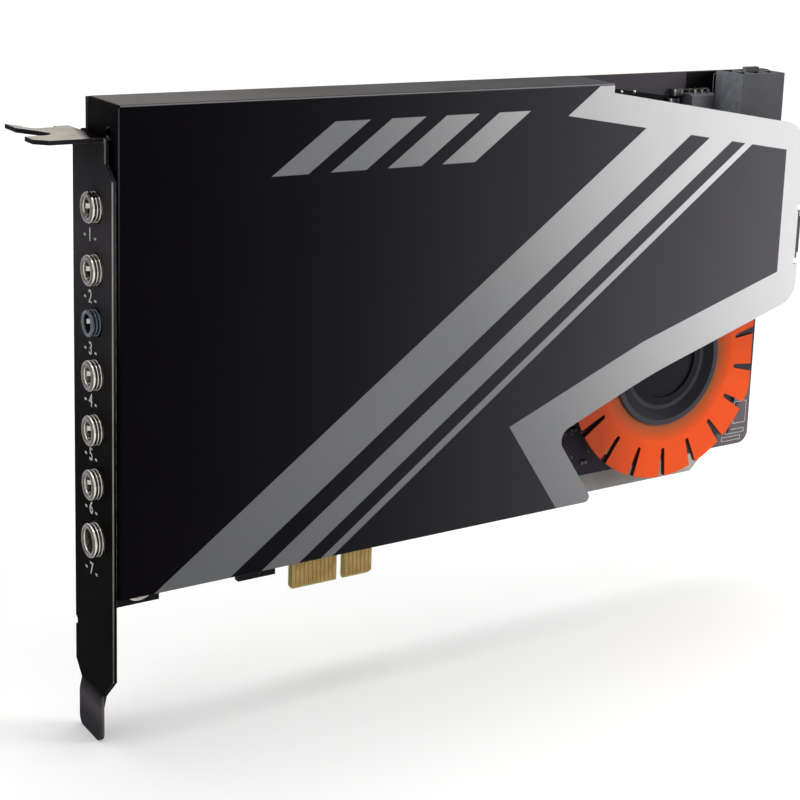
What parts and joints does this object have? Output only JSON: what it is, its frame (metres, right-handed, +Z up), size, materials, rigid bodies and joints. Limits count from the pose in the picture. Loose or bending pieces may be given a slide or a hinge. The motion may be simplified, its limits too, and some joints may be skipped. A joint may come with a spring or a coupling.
{
  "type": "expansion sound card",
  "caption": "Computer sound card with a slot bracket, a row of audio jacks, a folded black shroud, a slotted light ring and a one-lane edge tongue.",
  "frame": {"origin": "middle of the key notch at the lower edge of the contact tongue, in the middle of the board's thickness", "axes": "+X along the board from the bracket to the free end, -Y out of the component side, +Z up from the slot"},
  "size_m": [0.189, 0.0199, 0.1273],
  "materials": {
    "solder_mask": "satin solder mask",
    "gold": "gold flash",
    "bracket_paint": "satin black",
    "shroud_paint": "fine matt black",
    "plated_steel": "zinc plated",
    "black_screw": "black plated",
    "ring_orange": "translucent satin",
    "hub_black": "satin moulded",
    "led_resin": "resin",
    "connector_black": "moulded",
    "tin": "tin plated",
    "chip_epoxy": "moulded epoxy",
    "relay_case": "moulded",
    "ferrite": "sintered",
    "capacitor_can": "satin can",
    "jack_plastic": "moulded",
    "nickel": "polished nickel",
    "slim_collar": "dull oxide"
  },
  "bodies": {
    "root": {"adc_chip": "chip_epoxy", "audio_processor": "chip_epoxy", "board": "solder_mask", "bracket": "bracket_paint", "bracket_screws": "plated_steel", "dac_chip": "chip_epoxy", "edge_contacts": "gold", "firmware_memory": "chip_epoxy", "front_panel_header": "connector_black", "header_pins": "gold", "headphone_amplifier": "chip_epoxy", "inductors": "ferrite", "jack_body_1": "jack_plastic", "jack_body_2": "jack_plastic", "jack_body_3": "jack_plastic", "jack_body_4": "jack_plastic", "jack_body_5": "jack_plastic", "jack_body_6": "jack_plastic", "jack_body_7": "jack_plastic", "jack_collar_1": "nickel", "jack_collar_2": "nickel", "jack_collar_3": "slim_collar", "jack_collar_4": "nickel", "jack_collar_5": "nickel", "jack_collar_6": "nickel", "jack_collar_7": "nickel", "large_capacitors": "capacitor_can", "light_ring": "ring_orange", "op_amps": "chip_epoxy", "oscillators": "tin", "power_connector": "connector_black", "power_pins": "tin", "regulators": "chip_epoxy", "relays": "relay_case", "ring_hub": "hub_black", "ring_leds": "led_resin", "shroud": "shroud_paint", "shroud_screws": "black_screw", "shroud_standoffs": "plated_steel", "small_capacitors": "capacitor_can"}
  },
  "joints": []
}
